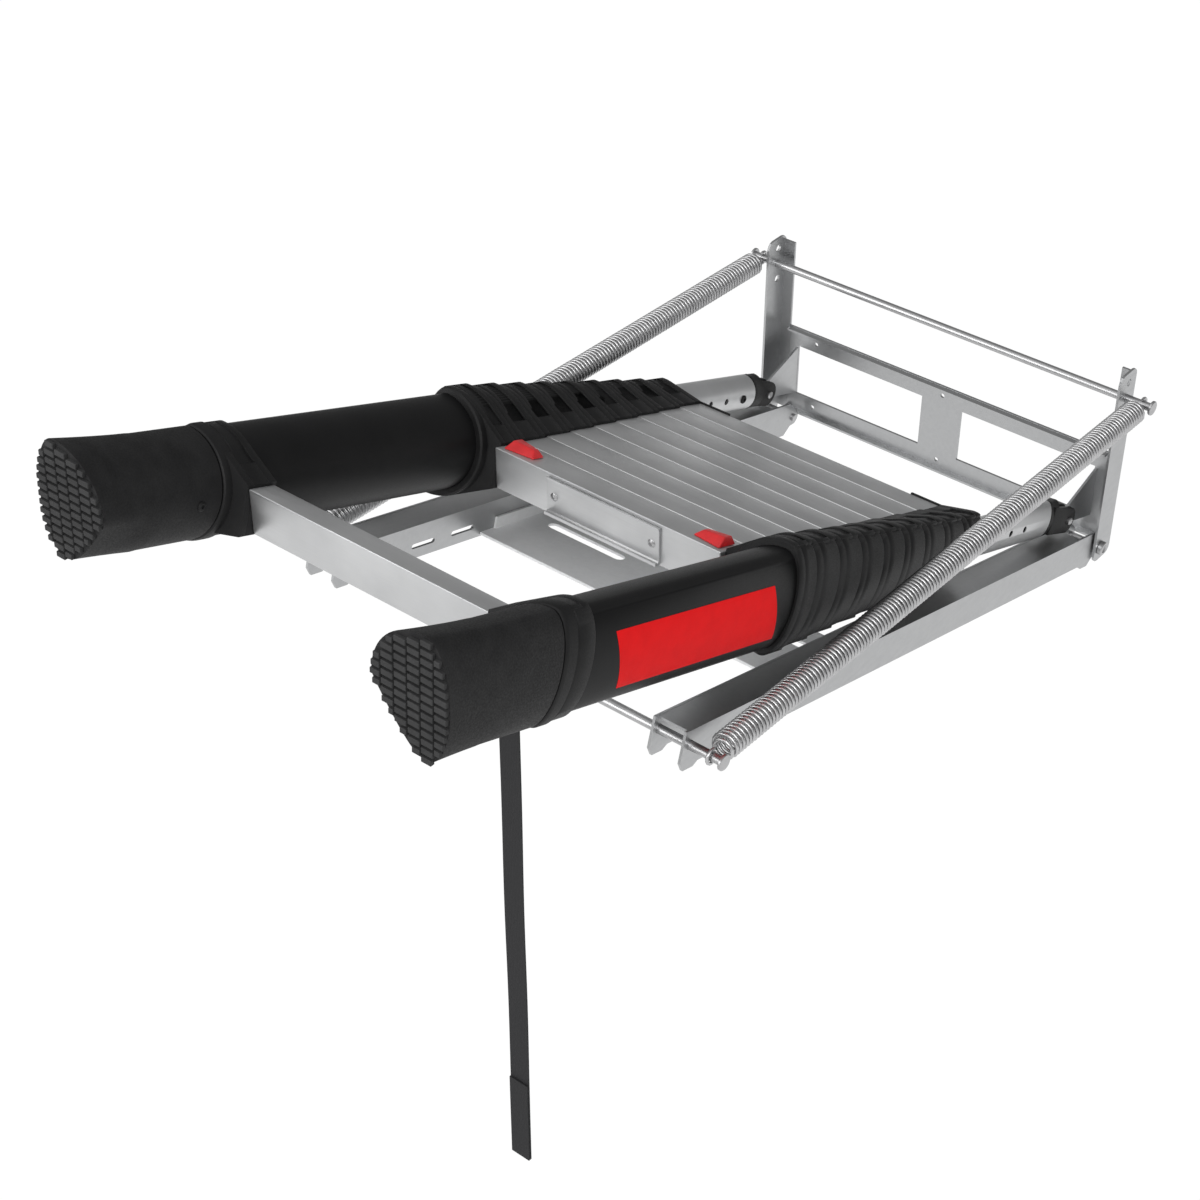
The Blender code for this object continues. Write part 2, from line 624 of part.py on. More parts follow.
def main():
    wall_frame()
    arms(pivot("arms_pivot", ARM_PIVOT, ARM_TILT))
    springs()
    ladder_place = ladder_pivot_point()
    holders = {n: pivot(f"section_{n}_frame", ladder_place, LADDER_TILT) for n in range(1, SECTIONS + 1)}
    bottom_section(holders[1])
    inner_sections(holders)
    top_section(holders[SECTIONS])
    strap()
    bpy.context.view_layer.update()
    print("ladder pivot", [round(v, 5) for v in ladder_place])
    print("front rod", [round(v, 5) for v in front_rod_point()])


main()
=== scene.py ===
import json
import math

import bmesh
import bpy
from mathutils import Matrix, Vector


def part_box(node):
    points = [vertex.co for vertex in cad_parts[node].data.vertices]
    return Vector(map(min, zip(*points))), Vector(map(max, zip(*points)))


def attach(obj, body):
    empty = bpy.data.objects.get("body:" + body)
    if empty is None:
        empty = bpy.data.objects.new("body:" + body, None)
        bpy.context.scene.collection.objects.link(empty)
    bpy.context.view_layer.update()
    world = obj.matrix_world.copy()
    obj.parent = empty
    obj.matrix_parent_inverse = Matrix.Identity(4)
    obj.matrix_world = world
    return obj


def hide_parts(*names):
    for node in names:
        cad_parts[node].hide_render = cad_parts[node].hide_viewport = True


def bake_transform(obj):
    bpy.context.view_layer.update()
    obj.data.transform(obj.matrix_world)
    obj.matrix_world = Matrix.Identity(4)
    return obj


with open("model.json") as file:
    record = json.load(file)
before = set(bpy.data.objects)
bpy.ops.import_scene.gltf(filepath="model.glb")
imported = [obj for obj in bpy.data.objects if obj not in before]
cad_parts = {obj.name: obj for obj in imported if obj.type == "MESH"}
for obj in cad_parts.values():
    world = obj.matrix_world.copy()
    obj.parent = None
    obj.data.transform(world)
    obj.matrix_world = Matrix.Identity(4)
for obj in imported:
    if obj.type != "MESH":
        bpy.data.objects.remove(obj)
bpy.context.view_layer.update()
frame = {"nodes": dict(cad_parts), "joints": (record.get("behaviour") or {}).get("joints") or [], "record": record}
scene = bpy.context.scene
scene.view_settings.view_transform = "Standard"
print("frame loaded:", len(frame["nodes"]), "nodes")

# Where the ladder lies, read from its joints and its lowest tube
joints = {joint["name"]: joint for joint in frame["joints"]}
ladderRun = Vector(joints["section_1_slide"]["axis"])
ladderTilt = math.atan2(ladderRun.z, -ladderRun.y)
ladderHinge = Matrix.Translation(joints["ladder_swing"]["pos_m"]) @ Matrix.Rotation(-ladderTilt, 4, "X")


def localBox(node, place):
    back = place.inverted()
    spots = [back @ corner.co for corner in frame["nodes"][node].data.vertices]
    low = Vector([min(spot[i] for spot in spots) for i in range(3)])
    high = Vector([max(spot[i] for spot in spots) for i in range(3)])
    return low, high


tubeLow, tubeHigh = localBox("bottom_tube_right", ladderHinge)
bottomRadius = (tubeHigh.z - tubeLow.z) / 2
stileX = tubeLow.x + bottomRadius
outerShare = (tubeHigh.x - stileX) / bottomRadius  # the stiles are flatter on their outer side
axisUp = (tubeLow.z + tubeHigh.z) / 2
ladderFrame = ladderHinge @ Matrix.Translation((0, 0, axisUp))  # on the stiles' axis, -Y runs out to the feet
alongX = Matrix.Rotation(math.radians(90), 4, "Z")
sides = {"left": -1, "right": 1}


def ladderSpan(node):
    low, high = localBox(node, ladderFrame)
    return -high.y, -low.y  # nearest and furthest from the hinge


rungLow, rungHigh = localBox("rung_2", ladderFrame)
rungEnds = {number: localBox(f"rung_{number + 1}", ladderFrame)[1].x for number in range(1, 10)}
rungLean = math.tan(ladderTilt)  # rung faces stand upright while the ladder is stored
rungTop = rungHigh.z
rungBottom = rungLow.z


# Camera at the photograph's angle
cameraSettings = {
    "place": (1.0466, -1.8754, 1.4123),
    "forward": (-0.4955, 0.6147, -0.6138),
    "lens": 71.56,
    "sensor": 36.0,
    "clipEnd": 60,
}
bpy.ops.object.camera_add(location=cameraSettings["place"])
camera = bpy.context.object
camera.rotation_euler = Vector(cameraSettings["forward"]).to_track_quat("-Z", "Y").to_euler()
camera.data.lens = cameraSettings["lens"]
camera.data.sensor_width = cameraSettings["sensor"]
camera.data.clip_end = cameraSettings["clipEnd"]
scene.camera = camera
print("camera set")


# Shared effects
def link(source, target):
    target.id_data.links.new(source, target)


def mathNode(tree, operation):
    node = tree.nodes.new("ShaderNodeMath")
    node.operation = operation
    return node


def newGroup(name, grain, grainKind):
    # Takes a place, the grain's size and a range; gives a value in that range and a height
    group = bpy.data.node_groups.new(name, "ShaderNodeTree")
    for label, kind in (("Vector", "NodeSocketVector"), (grain, grainKind)):
        group.interface.new_socket(name=label, in_out="INPUT", socket_type=kind)
    for label, value in (("Low", 0.0), ("High", 1.0)):
        socket = group.interface.new_socket(name=label, in_out="INPUT", socket_type="NodeSocketFloat")
        socket.default_value = value
    for label in ("Value", "Height"):
        group.interface.new_socket(name=label, in_out="OUTPUT", socket_type="NodeSocketFloat")
    start = group.nodes.new("NodeGroupInput")
    end = group.nodes.new("NodeGroupOutput")
    return group, start, end


def rangeNode(group, source, start, end, made):
    spread = group.nodes.new("ShaderNodeMapRange")
    spread.inputs["From Min"].default_value = made["low"]
    spread.inputs["From Max"].default_value = made["high"]
    link(source, spread.inputs["Value"])
    link(start.outputs["Low"], spread.inputs["To Min"])
    link(start.outputs["High"], spread.inputs["To Max"])
    link(spread.outputs["Result"], end.inputs["Value"])
    link(source, end.inputs["Height"])


effectSettings = {
    "grain": {"scale": 1.0, "detail": 4.0, "low": 0.3, "high": 0.7},
    "speckle": {"detail": 3.0, "low": 0.32, "high": 0.68},
    "spangle": {"low": 0.1, "high": 0.9},
    "weave": {"distortion": 0.4, "low": 0.0, "high": 1.0},
}


def makeGrainGroup():
    made = effectSettings["grain"]
    group, start, end = newGroup("brushedGrain", "Stretch", "NodeSocketVector")
    pull = group.nodes.new("ShaderNodeVectorMath")
    pull.operation = "MULTIPLY"
    noise = group.nodes.new("ShaderNodeTexNoise")
    noise.inputs["Scale"].default_value = made["scale"]
    noise.inputs["Detail"].default_value = made["detail"]
    link(start.outputs["Vector"], pull.inputs[0])
    link(start.outputs["Stretch"], pull.inputs[1])
    link(pull.outputs["Vector"], noise.inputs["Vector"])
    rangeNode(group, noise.outputs["Fac"], start, end, made)
    return group


def makeSpeckleGroup():
    made = effectSettings["speckle"]
    group, start, end = newGroup("mouldedSpeckle", "Scale", "NodeSocketFloat")
    noise = group.nodes.new("ShaderNodeTexNoise")
    noise.inputs["Detail"].default_value = made["detail"]
    link(start.outputs["Vector"], noise.inputs["Vector"])
    link(start.outputs["Scale"], noise.inputs["Scale"])
    rangeNode(group, noise.outputs["Fac"], start, end, made)
    return group


def makeSpangleGroup():
    made = effectSettings["spangle"]
    group, start, end = newGroup("zincSpangle", "Scale", "NodeSocketFloat")
    cells = group.nodes.new("ShaderNodeTexVoronoi")
    tone = group.nodes.new("ShaderNodeRGBToBW")
    link(start.outputs["Vector"], cells.inputs["Vector"])
    link(start.outputs["Scale"], cells.inputs["Scale"])
    link(cells.outputs["Color"], tone.inputs["Color"])
    rangeNode(group, tone.outputs["Val"], start, end, made)
    return group


def makeWeaveGroup():
    made = effectSettings["weave"]
    group, start, end = newGroup("webbingWeave", "Scale", "NodeSocketFloat")
    both = mathNode(group, "MULTIPLY")
    for slotIndex, direction in enumerate(("X", "Z")):
        band = group.nodes.new("ShaderNodeTexWave")
        band.bands_direction = direction
        band.inputs["Distortion"].default_value = made["distortion"]
        link(start.outputs["Vector"], band.inputs["Vector"])
        link(start.outputs["Scale"], band.inputs["Scale"])
        link(band.outputs["Fac"], both.inputs[slotIndex])
    rangeNode(group, both.outputs["Value"], start, end, made)
    return group


grainGroup = makeGrainGroup()
speckleGroup = makeSpeckleGroup()
spangleGroup = makeSpangleGroup()
weaveGroup = makeWeaveGroup()


# Finishes
mixShare, mixDark, mixLight, mixResult = 0, 6, 7, 2  # sockets of a mix node set to colours


def placeGroup(tree, group, values):
    node = tree.nodes.new("ShaderNodeGroup")
    node.node_tree = group
    for label, value in values.items():
        node.inputs[label].default_value = value
    return node


def newFinish(name, look):
    # A tone that drifts between two colours, a varied roughness and a fine bump
    made = bpy.data.materials.new(name)
    made.use_nodes = True
    tree = made.node_tree
    shader = tree.nodes["Principled BSDF"]
    shader.inputs["Metallic"].default_value = look.get("metallic", 0.0)
    shader.inputs["Specular IOR Level"].default_value = look.get("specular", 0.5)
    place = tree.nodes.new("ShaderNodeTexCoord")
    tone = placeGroup(tree, look.get("toneGroup", speckleGroup), {"Scale": look["toneScale"]})
    surface = placeGroup(tree, look.get("surfaceGroup", speckleGroup), look["surface"])
    mix = tree.nodes.new("ShaderNodeMix")
    mix.data_type = "RGBA"
    mix.inputs[mixDark].default_value = (*look["dark"], 1.0)
    mix.inputs[mixLight].default_value = (*look["light"], 1.0)
    bump = tree.nodes.new("ShaderNodeBump")
    bump.inputs["Strength"].default_value = look["bump"]
    bump.inputs["Distance"].default_value = look.get("bumpDepth", 0.0002)
    for node in (tone, surface):
        link(place.outputs["Object"], node.inputs["Vector"])
    link(tone.outputs["Value"], mix.inputs[mixShare])
    link(mix.outputs[mixResult], shader.inputs["Base Color"])
    link(surface.outputs["Value"], shader.inputs["Roughness"])
    link(surface.outputs["Height"], bump.inputs["Height"])
    link(bump.outputs["Normal"], shader.inputs["Normal"])
    return made


acrossGrain = (25.0, 1400.0, 1400.0)  # brushed along X
lengthGrain = (1400.0, 25.0, 1400.0)  # drawn along the ladder
finishLooks = {
    "galvanised_steel": {
        "dark": (0.44, 0.445, 0.45), "light": (0.46, 0.465, 0.47), "metallic": 1.0,
        "toneGroup": spangleGroup, "toneScale": 260.0, "surfaceGroup": grainGroup,
        "surface": {"Stretch": (300.0, 40.0, 300.0), "Low": 0.34, "High": 0.42}, "bump": 0.03},
    "bright_rod": {
        "dark": (0.42, 0.42, 0.425), "light": (0.48, 0.48, 0.485), "metallic": 1.0,
        "toneScale": 60.0, "surfaceGroup": grainGroup,
        "surface": {"Stretch": acrossGrain, "Low": 0.30, "High": 0.38}, "bump": 0.01},
    "spring_wire": {
        "dark": (0.47, 0.47, 0.475), "light": (0.56, 0.56, 0.565), "metallic": 1.0,
        "toneScale": 90.0,
        "surface": {"Scale": 1500.0, "Low": 0.32, "High": 0.42}, "bump": 0.05, "bumpDepth": 0.0001},
    "satin_aluminium": {
        "dark": (0.53, 0.535, 0.54), "light": (0.60, 0.605, 0.61), "metallic": 0.9,
        "toneScale": 18.0, "surfaceGroup": grainGroup,
        "surface": {"Stretch": acrossGrain, "Low": 0.36, "High": 0.50}, "bump": 0.08},
    "black_tube": {
        "dark": (0.006, 0.006, 0.0063), "light": (0.008, 0.008, 0.0083), "specular": 0.14,
        "toneScale": 25.0, "surface": {"Scale": 1300.0, "Low": 0.38, "High": 0.50}, "bump": 0.10},
    "black_collar": {
        "dark": (0.007, 0.007, 0.0073), "light": (0.012, 0.012, 0.0124), "specular": 0.20,
        "toneScale": 40.0,
        "surface": {"Scale": 1000.0, "Low": 0.46, "High": 0.62}, "bump": 0.16, "bumpDepth": 0.0003},
    "foot_rubber": {
        "dark": (0.010, 0.010, 0.0104), "light": (0.016, 0.016, 0.0164), "specular": 0.20,
        "toneScale": 55.0,
        "surface": {"Scale": 700.0, "Low": 0.55, "High": 0.75}, "bump": 0.22, "bumpDepth": 0.0003},
    "red_plastic": {
        "dark": (0.52, 0.014, 0.018), "light": (0.66, 0.022, 0.026), "specular": 0.5,
        "toneScale": 70.0, "surface": {"Scale": 900.0, "Low": 0.30, "High": 0.42}, "bump": 0.08},
    "black_webbing": {
        "dark": (0.012, 0.012, 0.013), "light": (0.026, 0.026, 0.028), "specular": 0.3,
        "toneGroup": weaveGroup, "toneScale": 196.0, "surfaceGroup": weaveGroup,
        "surface": {"Scale": 196.0, "Low": 0.70, "High": 0.90}, "bump": 0.5, "bumpDepth": 0.0004},
}
# Finishes that differ from one of these in a few values
lookChanges = {
    "drawn_aluminium": ("satin_aluminium", {"surface": {"Stretch": lengthGrain, "Low": 0.34, "High": 0.46}}),
    "label_vinyl": ("red_plastic", {
        "dark": (0.80, 0.003, 0.005), "light": (0.86, 0.004, 0.006), "specular": 0.10, "bump": 0.03,
        "surface": {"Scale": 900.0, "Low": 0.46, "High": 0.56}}),
    # Painted light: the galvanised finish whitened and made non-metallic, so the cross plate looks lit on its
    # upper face
    "pale_zinc": ("galvanised_steel", {
        "dark": (0.86, 0.865, 0.87), "light": (0.90, 0.905, 0.91), "metallic": 0.0}),
    "tread_rubber": ("foot_rubber", {"dark": (0.024, 0.024, 0.0245), "light": (0.034, 0.034, 0.0345)}),
    # Painted shade: a darker, duller copy of the collar black, used only for the recess floors
    "sunk_black": ("black_collar", {
        "dark": (0.003, 0.003, 0.003), "light": (0.005, 0.005, 0.005), "specular": 0.12}),
}
for name, (base, changes) in lookChanges.items():
    finishLooks[name] = {**finishLooks[base], **changes}
finishes = {name: newFinish(name, look) for name, look in finishLooks.items()}
print("finishes made:", len(finishes))


# Modelling helpers
mergeWithin = 0.000005


def setMode(mode):
    bpy.ops.object.mode_set(mode=mode)


def deselectAll():
    if bpy.context.object and bpy.context.object.mode != "OBJECT":
        setMode("OBJECT")
    bpy.ops.object.select_all(action="DESELECT")


def pick(piece):
    deselectAll()
    piece.select_set(True)
    bpy.context.view_layer.objects.active = piece


def applyPlace(piece, place=None):
    pick(piece)
    if place is not None:
        bpy.context.view_layer.update()
        piece.matrix_world = place @ piece.matrix_world
    bpy.ops.object.transform_apply(location=True, rotation=True, scale=True)
    return piece


def selectFaces(piece, test):
    mesh = bmesh.from_edit_mesh(piece.data)
    for group in (mesh.verts, mesh.edges, mesh.faces):
        for item in group:
            item.select = False
    for face in mesh.faces:
        if test(face):
            face.select_set(True)
    bmesh.update_edit_mesh(piece.data)


def tidyMesh(fill=False):
    # In edit mode: merge, close any open ends and turn the faces outwards
    bpy.ops.mesh.select_all(action="SELECT")
    bpy.ops.mesh.remove_doubles(threshold=mergeWithin)
    if fill:
        bpy.ops.mesh.select_mode(type="VERT")
        bpy.ops.mesh.select_all(action="DESELECT")
        bpy.ops.mesh.select_non_manifold()
        bpy.ops.mesh.fill_holes(sides=0)
    bpy.ops.mesh.select_all(action="SELECT")
    bpy.ops.mesh.normals_make_consistent(inside=False)


def flattenOuter(piece, sign):
    for corner in piece.data.vertices:
        if corner.co.x * sign > 0:
            corner.co.x *= outerShare
    return piece


def leanMesh(piece, top):
    for corner in piece.data.vertices:
        corner.co.y -= rungLean * (corner.co.z - top)
    return piece


def turned(steps, ringSides=48, hollow=False, flat=0):
    # steps are (distance out, radius); the shape runs along -Y, and flat is the sign of its flatter side
    deselectAll()
    out, radius = steps[0]
    bpy.ops.mesh.primitive_circle_add(vertices=ringSides, radius=radius, location=(0, -out, 0),
                                      rotation=(math.radians(90), 0, 0))
    piece = applyPlace(bpy.context.object)
    setMode("EDIT")
    bpy.ops.mesh.select_mode(type="VERT")
    bpy.ops.mesh.select_all(action="SELECT")
    for nextOut, nextRadius in steps[1:]:
        bpy.ops.mesh.extrude_region_move(TRANSFORM_OT_translate={"value": (0, out - nextOut, 0)})
        growth = nextRadius / radius
        bpy.ops.transform.resize(value=(growth, 1, growth), center_override=(0, -nextOut, 0))
        out, radius = nextOut, nextRadius
    tidyMesh(fill=not hollow)
    setMode("OBJECT")
    return flattenOuter(piece, flat)


def tubeSteps(start, end, radius, wall, ease=0.0006):
    inner = radius - wall
    return [(start, radius - ease), (start + ease, radius), (end - ease, radius), (end, radius - ease),
            (end, inner), (start, inner), (start, radius - ease)]


def plainBox(low, high):
    deselectAll()
    low, high = Vector(low), Vector(high)
    bpy.ops.mesh.primitive_cube_add(size=1, location=(low + high) / 2, scale=high - low)
    return applyPlace(bpy.context.object)


def bar(low, high, edge, segments=3):
    piece = plainBox(low, high)
    setMode("EDIT")
    bpy.ops.mesh.select_all(action="SELECT")
    bpy.ops.mesh.bevel(offset=edge, segments=segments, affect="EDGES")
    setMode("OBJECT")
    return piece


def curveMesh(curve):
    deselectAll()
    piece = bpy.data.objects.new(curve.name, curve)
    scene.collection.objects.link(piece)
    pick(piece)
    bpy.ops.object.convert(target="MESH")
    piece = bpy.context.object
    setMode("EDIT")
    tidyMesh()
    setMode("OBJECT")
    return piece


def flatShape(outlines, thickness, edge=0.0004):
    # An outline in XY with its holes, thick along Z, with eased edges
    curve = bpy.data.curves.new("outline", "CURVE")
    curve.dimensions = "2D"
    curve.fill_mode = "BOTH"
    curve.extrude = thickness / 2 - edge
    curve.bevel_depth = edge
    curve.bevel_resolution = 1
    for points in outlines:
        spline = curve.splines.new("POLY")
        spline.points.add(len(points) - 1)
        for point, (u, v) in zip(spline.points, points):
            point.co = (u, v, 0, 1)
        spline.use_cyclic_u = True
    return curveMesh(curve)


def wire(points, radius):
    curve = bpy.data.curves.new("wire", "CURVE")
    curve.dimensions = "3D"
    curve.bevel_depth = radius
    curve.bevel_resolution = 2
    curve.use_fill_caps = True
    spline = curve.splines.new("POLY")
    spline.points.add(len(points) - 1)
    for point, place in zip(spline.points, points):
        point.co = (*place, 1)
    return curveMesh(curve)


def arcPoints(centre, radius, first, last, count):
    spots = []
    for i in range(count + 1):
        angle = math.radians(first + (last - first) * i / count)
        spots.append((centre[0] + radius * math.cos(angle), centre[1] + radius * math.sin(angle)))
    return spots


def joinPieces(parts):
    pick(parts[0])
    for part in parts:
        part.select_set(True)
    bpy.ops.object.join()
    return parts[0]


def finishPiece(piece, name, body, slot, place=None, smooth=35, replaced=(), finish=None):
    applyPlace(piece, place)
    bpy.ops.object.shade_smooth_by_angle(angle=math.radians(smooth))
    piece.name = name
    piece.data.name = name
    piece.data.materials.clear()
    piece.data.materials.append(finishes[finish or slot])
    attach(piece, body)
    if replaced:
        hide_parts(*replaced)
    return piece


sectionPlane = Matrix.Rotation(math.radians(90), 4, "X")  # an XY outline stands across the ladder
profilePlane = alongX @ sectionPlane  # an XY outline runs along the ladder
stileShift = {side: Matrix.Translation((sign * stileX, 0, 0)) for side, sign in sides.items()}
stilePlace = {side: ladderFrame @ shift for side, shift in stileShift.items()}
inwardTurn = {side: Matrix.Rotation(math.radians(-90 * sign), 4, "Z") for side, sign in sides.items()}


# Pull strap
strapSettings = {"sway": 0.0006, "swayLength": 0.31, "points": 24, "hem": 0.098, "hemGap": 0.0009,
                 "hemWidth": 0.985, "hemThick": 0.8, "rows": 90, "columns": 4, "smooth": 50}


def strapSway(drop, length):
    ease = math.sin(math.pi * min(1.0, drop / length)) ** 2
    return strapSettings["sway"] * ease * math.sin(2 * math.pi * drop / strapSettings["swayLength"])


def ribbon(width, length, thick, middle, top, forward=0.0, offset=0.0, whole=None):
    made = strapSettings
    deselectAll()
    rows = int(made["rows"] * length)
    bpy.ops.mesh.primitive_grid_add(x_subdivisions=made["columns"], y_subdivisions=rows, size=1,
                                    location=(middle.x, middle.y + forward, top - length / 2),
                                    rotation=(math.radians(90), 0, 0))
    bpy.context.object.scale = (width, length, 1)
    piece = applyPlace(bpy.context.object)
    for corner in piece.data.vertices:
        corner.co.y += strapSway(top - corner.co.z + offset, whole or length)
    body = piece.modifiers.new("thickness", "SOLIDIFY")
    body.thickness = thick
    body.offset = 0.0
    pick(piece)
    bpy.ops.object.modifier_apply(modifier=body.name)
    return piece


def pullStrap():
    made = strapSettings
    low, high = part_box("pull_strap")
    middle = (low + high) / 2
    width = high.x - low.x
    thick = high.y - low.y
    drop = high.z - low.z
    strap = ribbon(width, drop, thick, middle, high.z)
    finishPiece(strap, "pullStrap", "strap", "black_webbing", replaced=["pull_strap"], smooth=made["smooth"])
    hemThick = thick * made["hemThick"]
    hemForward = -(thick + made["hemGap"]) / 2 - hemThick / 2
    hem = ribbon(width * made["hemWidth"], made["hem"], hemThick, middle, low.z + made["hem"], hemForward,
                 drop - made["hem"], drop)
    finishPiece(hem, "strapHem", "strap", "black_webbing", smooth=made["smooth"])


pullStrap()
print("strap made")


# Springs, hooked over the ends of both rods
rodRadius = 0.0042
springSettings = {"turns": 150, "turnPoints": 14, "wire": 0.0016, "outer": 0.0125, "endRun": 0.013,
                  "lowRun": 0.011, "hookPoints": 9, "hookStart": -110, "hookTurn": 190, "rodClear": 0.0008,
                  "endSize": 0.55, "endGrowth": 0.45, "smooth": 60}


def spring(side):
    made = springSettings
    rodLow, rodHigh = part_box("top_rod")
    lower = Vector(joints[f"spring_{side}_swing"]["pos_m"])
    upper = (rodLow + rodHigh) / 2
    upper.x = lower.x
    across = Vector((1, 0, 0))
    run = (lower - upper).normalized()
    up = across.cross(run)
    length = (lower - upper).length
    hook = rodRadius + made["wire"] + made["rodClear"]
    mean = made["outer"] - made["wire"]
    first = []
    last = []
    for i in range(made["hookPoints"] + 1):
        angle = math.radians(made["hookStart"] + made["hookTurn"] * i / made["hookPoints"])
        first.append(upper - run * hook * math.cos(angle) + up * hook * math.sin(angle))
        last.insert(0, lower + run * hook * math.cos(angle) + up * hook * math.sin(angle))
    coil = []
    count = made["turns"] * made["turnPoints"]
    for i in range(count + 1):
        turn = i / made["turnPoints"]
        swell = min(1.0, made["endSize"] + min(turn, made["turns"] - turn) * made["endGrowth"])
        angle = 2 * math.pi * turn
        reach = made["endRun"] + (length - made["endRun"] - made["lowRun"]) * i / count
        outward = up * math.cos(angle) + across * math.sin(angle)
        coil.append(upper + run * reach + outward * mean * swell)
    piece = wire(first + coil + last, made["wire"])
    pick(piece)
    bpy.ops.object.shade_smooth_by_angle(angle=math.radians(made["smooth"]))
    piece.name = f"spring{side.title()}"
    piece.data.materials.append(finishes["spring_wire"])
    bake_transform(piece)
    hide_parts(f"spring_{side}", f"spring_hook_{side}")


for side in sides:
    spring(side)
print("springs wound")


# Rods and pins
rodSettings = {"head": 0.0074, "headThick": 0.003, "ease": 0.0006}
# Steps are (distance from the inner or outer end, radius)
pinSettings = {"shankSteps": [(0, 0.0034), (0.0006, 0.004)],
               "headSteps": [(-0.0046, 0.004), (-0.0046, 0.0073), (-0.0008, 0.0073), (0, 0.0064), (0, 0.0045),
                             (-0.0012, 0.0035)]}


def longRod(name, node, body):
    made = rodSettings
    low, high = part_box(node)
    reach = (high.x - low.x) / 2
    neck = reach - made["headThick"]
    rim = made["head"] - made["ease"]
    half = [(neck, rodRadius), (neck, rim), (neck + made["ease"], made["head"]),
            (reach - made["ease"], made["head"]), (reach, rim)]
    piece = turned([(-out, radius) for out, radius in half[::-1]] + half, ringSides=32)
    place = Matrix.Translation((low + high) / 2) @ alongX
    finishPiece(piece, name, body, "bright_rod", place, replaced=[node])


def headedPin(name, node, body, side):
    made = pinSettings
    low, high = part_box(node)
    middle = (low + high) / 2
    length = high.x - low.x
    steps = made["shankSteps"] + [(length + out, radius) for out, radius in made["headSteps"]]
    piece = turned(steps, ringSides=32)
    start = Vector((low.x if sides[side] > 0 else high.x, middle.y, middle.z))
    place = Matrix.Translation(start) @ Matrix.Rotation(math.radians(90 * sides[side]), 4, "Z")
    finishPiece(piece, name, body, "bright_rod", place, replaced=[node])


longRod("topRod", "top_rod", "wall_frame")
longRod("frontRod", "front_rod", "arms")
for side in sides:
    headedPin(f"armPin{side.title()}", f"arm_pivot_pin_{side}", "wall_frame", side)
print("rods and pins made")


# Fixed top section: tubes, forks and their pins; steps are (distance out, radius)
topSettings = {
    "radius": 0.0193, "wall": 0.0022, "holes": (0.103, 0.133), "holeRadius": 0.0034, "drillReach": 0.04,
    "screwOut": 0.0705, "screwSunk": 0.0006,
    "screwSteps": [(0, 0.0046), (0.0012, 0.0046), (0.0022, 0.0036), (0.0024, 0.002), (0.0012, 0.0018)],
}
forkSettings = {
    "capSteps": [(-0.020, 0.0165), (-0.0185, 0.0186), (-0.006, 0.0188), (-0.005, 0.0192), (-0.0004, 0.0192),
                 (-0.0004, 0.0168)],  # counted from the tube's end
    "plug": 0.0166, "round": 0.0125, "roundArc": (-100, 80), "roundPoints": 14, "drop": -0.005,
    "cheek": 0.006, "cheekOut": 0.0055, "cheekEdge": 0.0012, "cheekBack": 0.008,
    "cheekSpan": (0.0125, -0.0145),
    "pinSteps": [(-0.0115, 0.0026), (-0.0105, 0.0039), (0.0105, 0.0039), (0.0115, 0.0026)],
}


def cutWith(piece, cutter):
    cut = piece.modifiers.new("cut", "BOOLEAN")
    cut.operation = "DIFFERENCE"
    cut.object = cutter
    pick(piece)
    bpy.ops.object.modifier_apply(modifier=cut.name)
    bpy.data.objects.remove(cutter, do_unlink=True)


def topTube(side):
    made = topSettings
    start, end = ladderSpan(f"top_tube_{side}")
    tube = turned(tubeSteps(start, end, made["radius"], made["wall"]), ringSides=56, hollow=True,
                  flat=sides[side])
    for hole in made["holes"]:
        drill = turned([(-made["drillReach"], made["holeRadius"]), (made["drillReach"], made["holeRadius"])],
                       ringSides=20)
        applyPlace(drill, Matrix.Translation((0, -hole, 0)) @ alongX)
        cutWith(tube, drill)
    finishPiece(tube, f"topTube{side.title()}", "ladder_top", "satin_aluminium", stilePlace[side],
                replaced=[f"top_tube_{side}"], finish="drawn_aluminium")
    screw = turned(made["screwSteps"], ringSides=24)
    spot = Matrix.Translation((-sides[side] * (made["radius"] - made["screwSunk"]), -made["screwOut"], 0))
    finishPiece(screw, f"tubeScrew{side.title()}", "ladder_top", "black_collar",
                stilePlace[side] @ spot @ inwardTurn[side])


def forkEnd(side):
    made = forkSettings
    tubeStart = ladderSpan(f"top_tube_{side}")[0]
    plugEnd = ladderSpan(f"fork_end_{side}")[1]
    capSteps = [(tubeStart + out, radius) for out, radius in made["capSteps"]]
    parts = [turned(capSteps + [(plugEnd, made["plug"])], ringSides=40, flat=sides[side])]
    outline = [(made["cheekBack"] - tubeStart, up) for up in made["cheekSpan"]]
    outline += arcPoints((0, made["drop"]), made["round"], *made["roundArc"], made["roundPoints"])
    for sign in (-1, 1):
        cheek = flatShape([outline], made["cheek"], made["cheekEdge"])
        parts.append(applyPlace(cheek, Matrix.Translation((sign * made["cheekOut"], 0, 0)) @ profilePlane))
    finishPiece(joinPieces(parts), f"forkEnd{side.title()}", "ladder_top", "black_collar", stilePlace[side],
                replaced=[f"fork_end_{side}"])
    pin = turned(made["pinSteps"], ringSides=28)
    spot = Matrix.Translation((0, 0, made["drop"])) @ alongX
    finishPiece(pin, f"forkPin{side.title()}", "ladder_top", "bright_rod", stilePlace[side] @ spot,
                replaced=[f"fork_pin_{side}"])


for side in sides:
    topTube(side)
    forkEnd(side)
print("fixed section made")


# Rungs
rungSettings = {"edge": 0.0016, "tail": 0.036, "tailThick": 0.003, "tailReach": 0.004, "tailGap": 0.0003,
                "tailDrop": 0.007, "tailRise": 0.0012, "tailEdge": 0.0009}


def rungBox(node):
    # Without the slant that leanMesh adds
    low, high = localBox(node, ladderFrame)
    high.y -= rungLean * (high.z - low.z)
    return low, high


